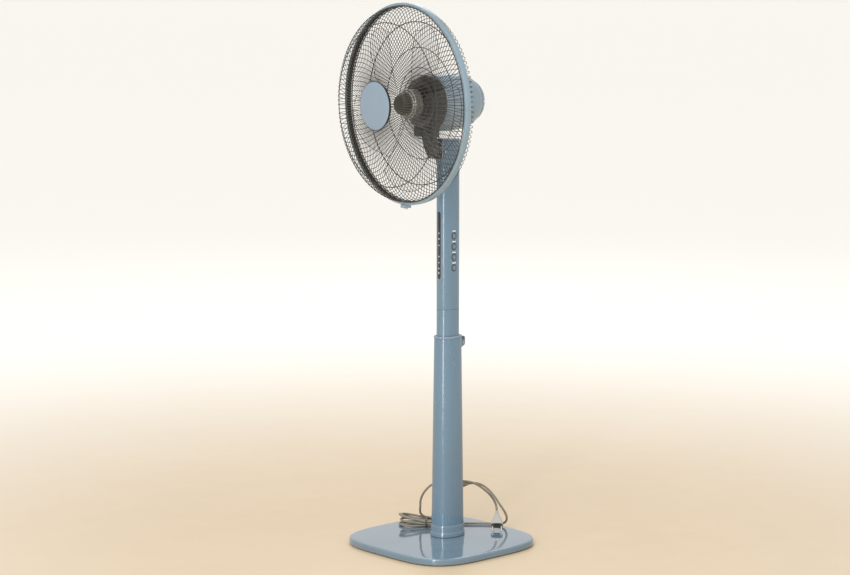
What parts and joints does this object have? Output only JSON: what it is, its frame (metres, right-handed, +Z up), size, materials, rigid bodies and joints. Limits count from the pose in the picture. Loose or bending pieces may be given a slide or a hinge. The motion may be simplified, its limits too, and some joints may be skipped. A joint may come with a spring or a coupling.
{
  "type": "pedestal fan",
  "caption": "Standing electric fan with a weighted rounded-square base, telescopic oval pole with press-button controls, oscillating and tilting head, wire guards and clear blades.",
  "frame": {"origin": "on the floor, under the axis of the pole, just below the head of the bolt that holds the pole", "axes": "+Z up; the base, mast and controls face -Y and +X is the side with the push buttons; the head rests turned 5 degrees clockwise seen from above"},
  "size_m": [0.4394, 0.3632, 1.216],
  "materials": {
    "shell_plastic": "satin grey-blue moulded plastic, painted look",
    "dark_plastic": "dark brown-black moulded plastic",
    "window_plastic": "smoked glossy window",
    "guard_wire": "mid grey coated steel wire",
    "steel": "plain steel",
    "iron": "dark laminated iron and painted weight",
    "rubber": "soft black rubber",
    "blade_plastic": "light smoke transparent plastic",
    "cord_plastic": "greige flexible PVC",
    "pale_plastic": "light grey moulded plastic",
    "circuit_board": "green laminate with parts"
  },
  "bodies": {
    "base": {"base_cover": "shell_plastic", "base_weight": "iron", "base_foot_1": "rubber", "base_foot_2": "rubber", "base_foot_3": "rubber", "base_foot_4": "rubber", "pole_bolt": "steel", "pole_nut": "steel", "lower_pole": "shell_plastic", "pole_collar": "shell_plastic", "pole_bush": "shell_plastic", "lever_bracket": "shell_plastic", "lever_pin": "steel", "cord_gland": "cord_plastic", "cord_tail": "cord_plastic", "cord_hank": "cord_plastic", "cord_tie": "dark_plastic", "cord_lead": "cord_plastic", "plug_body": "pale_plastic", "plug_pin_1": "steel", "plug_pin_2": "steel"},
    "height_lever": {"height_lever": "shell_plastic"},
    "mast": {"slide_pole": "shell_plastic", "control_housing": "shell_plastic", "display_window": "window_plastic", "control_board": "circuit_board", "lamp_board": "circuit_board", "board_bracket": "pale_plastic", "swivel_shaft": "steel"},
    "button_1": {"button_1": "shell_plastic"},
    "button_2": {"button_2": "shell_plastic"},
    "button_3": {"button_3": "shell_plastic"},
    "button_4": {"button_4": "shell_plastic"},
    "neck": {"neck_housing": "shell_plastic", "oscillation_motor": "pale_plastic", "swivel_ring": "steel", "tilt_pin": "steel"},
    "head": {"tilt_bracket": "dark_plastic", "motor_front_cover": "dark_plastic", "motor_rear_cover": "shell_plastic", "motor_stator": "iron", "front_bearing": "steel", "rear_bearing": "steel", "bearing_holder": "iron", "rear_guard": "guard_wire", "guard_nut": "dark_plastic", "guard_ring": "shell_plastic", "front_guard": "guard_wire", "guard_badge": "shell_plastic", "guard_clip": "shell_plastic", "guard_clip_screw": "steel"},
    "rotor": {"motor_shaft": "steel", "motor_rotor": "iron", "fan_blade": "blade_plastic", "spinner": "dark_plastic"}
  },
  "joints": [
    {"name": "height_slide", "type": "slide", "parent": "base", "child": "mast", "axis": [0, 0, 1], "range_m": [-0.055, 0.145]},
    {"name": "height_lever_press", "type": "hinge", "parent": "base", "child": "height_lever", "pos_m": [0, 0.0385, 0.455], "axis": [1, 0, 0], "range_deg": [0, 12], "stiffness_Nm_per_rad": 0.5, "springref_deg": -5.73},
    {"name": "oscillation", "type": "hinge", "parent": "mast", "child": "neck", "pos_m": [0, 0, 0.88], "axis": [0, 0, 1], "range_deg": [-40, 50]},
    {"name": "head_tilt", "type": "hinge", "parent": "neck", "child": "head", "pos_m": [-0.00174, -0.01992, 0.888], "axis": [-0.9962, 0.0872, 0], "range_deg": [-10, 20]},
    {"name": "fan_spin", "type": "hinge", "parent": "head", "child": "rotor", "pos_m": [0, 0, 0.996], "axis": [-0.0872, -0.9962, 0], "continuous": true},
    {"name": "button_1_press", "type": "slide", "parent": "mast", "child": "button_1", "axis": [-1, 0, 0], "range_m": [0, 0.0015], "stiffness_N_per_m": 400, "springref_m": -0.0015},
    {"name": "button_2_press", "type": "slide", "parent": "mast", "child": "button_2", "axis": [-1, 0, 0], "range_m": [0, 0.0015], "stiffness_N_per_m": 400, "springref_m": -0.0015},
    {"name": "button_3_press", "type": "slide", "parent": "mast", "child": "button_3", "axis": [-1, 0, 0], "range_m": [0, 0.0015], "stiffness_N_per_m": 400, "springref_m": -0.0015},
    {"name": "button_4_press", "type": "slide", "parent": "mast", "child": "button_4", "axis": [-1, 0, 0], "range_m": [0, 0.0015], "stiffness_N_per_m": 400, "springref_m": -0.0015}
  ]
}
